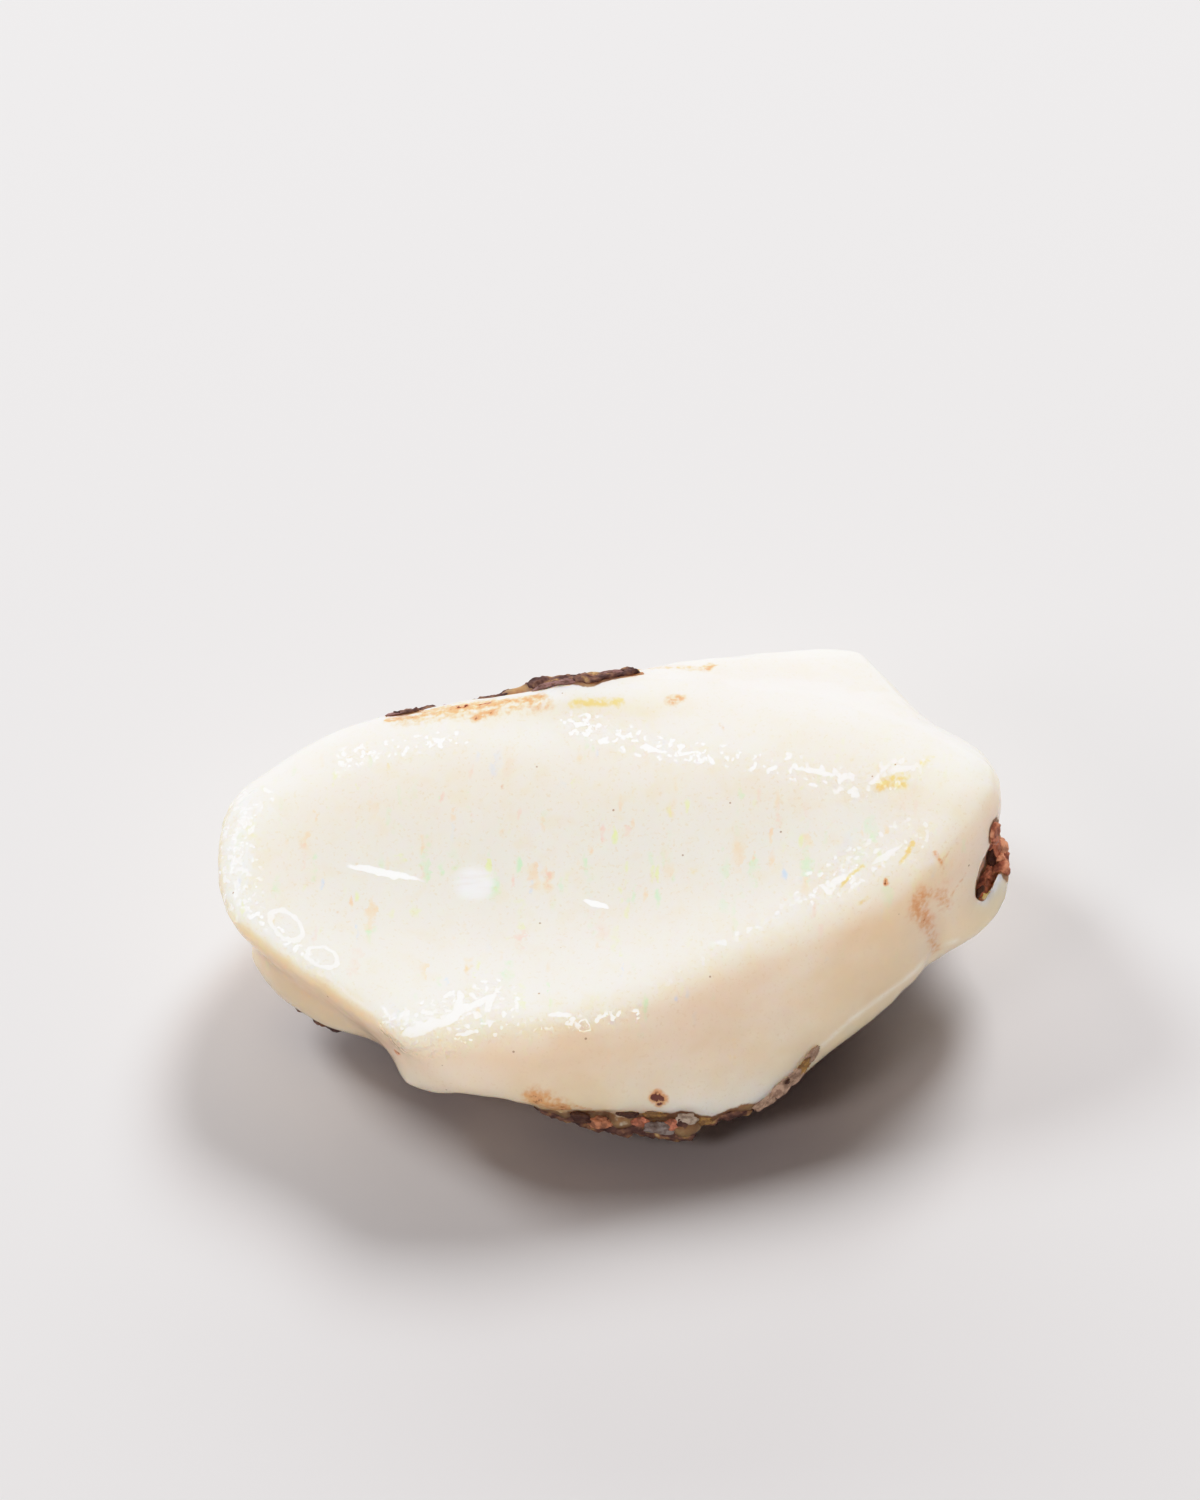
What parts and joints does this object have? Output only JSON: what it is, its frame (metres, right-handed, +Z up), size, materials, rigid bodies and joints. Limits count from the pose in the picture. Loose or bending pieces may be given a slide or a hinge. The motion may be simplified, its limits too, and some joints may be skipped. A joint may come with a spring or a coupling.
{
  "type": "rough opal specimen",
  "caption": "Rough lump of milky white opal: long glossy dish on top, sloping front, stepped back, cleft at the right end, brown host rock on the underside.",
  "frame": {"origin": "on the surface that the stone rests on, under the middle of its outline", "axes": "+X along the stone to its right, cleft end; +Y from its sloping front to its stepped back; +Z up, out of the dish"},
  "size_m": [0.0558, 0.036, 0.0185],
  "materials": {
    "opal": "waxy to glassy polish, milky and slightly translucent, with faint play of colour, and brown host rock grown onto the underside"
  },
  "bodies": {
    "root": {"opal": "opal"}
  },
  "joints": []
}
